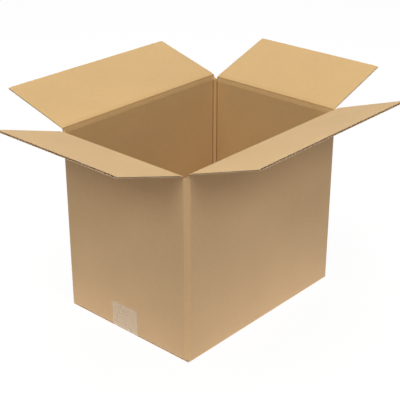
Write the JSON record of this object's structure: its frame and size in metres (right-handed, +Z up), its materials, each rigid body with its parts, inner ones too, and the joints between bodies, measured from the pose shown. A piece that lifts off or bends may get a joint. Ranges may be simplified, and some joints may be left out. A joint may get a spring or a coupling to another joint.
{
  "type": "open cardboard box",
  "caption": "Open slotted cardboard carton with hinged top flaps folded outwards, closed bottom flaps and a strip of tape over the bottom seam.",
  "frame": {"origin": "middle of the underside, on the bottom seam", "axes": "+X along the long walls, +Y along the end walls towards the back wall, +Z up through the open top"},
  "size_m": [0.5687, 0.4796, 0.3316],
  "materials": {
    "board": "matte",
    "tape": "satin"
  },
  "bodies": {
    "root": {"carton_body": "board", "bottom_tape": "tape"},
    "front_flap": {"front_flap": "board"},
    "back_flap": {"back_flap": "board"},
    "left_flap": {"left_flap": "board"},
    "right_flap": {"right_flap": "board"}
  },
  "joints": [
    {"name": "front_fold", "type": "hinge", "parent": "root", "child": "front_flap", "pos_m": [0, -0.1232, 0.2888], "axis": [1, 0, 0], "range_deg": [-161, 109]},
    {"name": "back_fold", "type": "hinge", "parent": "root", "child": "back_flap", "pos_m": [0, 0.1232, 0.2888], "axis": [-1, 0, 0], "range_deg": [-164.5, 105.5]},
    {"name": "left_fold", "type": "hinge", "parent": "root", "child": "left_flap", "pos_m": [-0.1682, 0, 0.2855], "axis": [0, -1, 0], "range_deg": [-162.5, 107.5]},
    {"name": "right_fold", "type": "hinge", "parent": "root", "child": "right_flap", "pos_m": [0.1682, 0, 0.2855], "axis": [0, 1, 0], "range_deg": [-161.5, 108.5]}
  ]
}
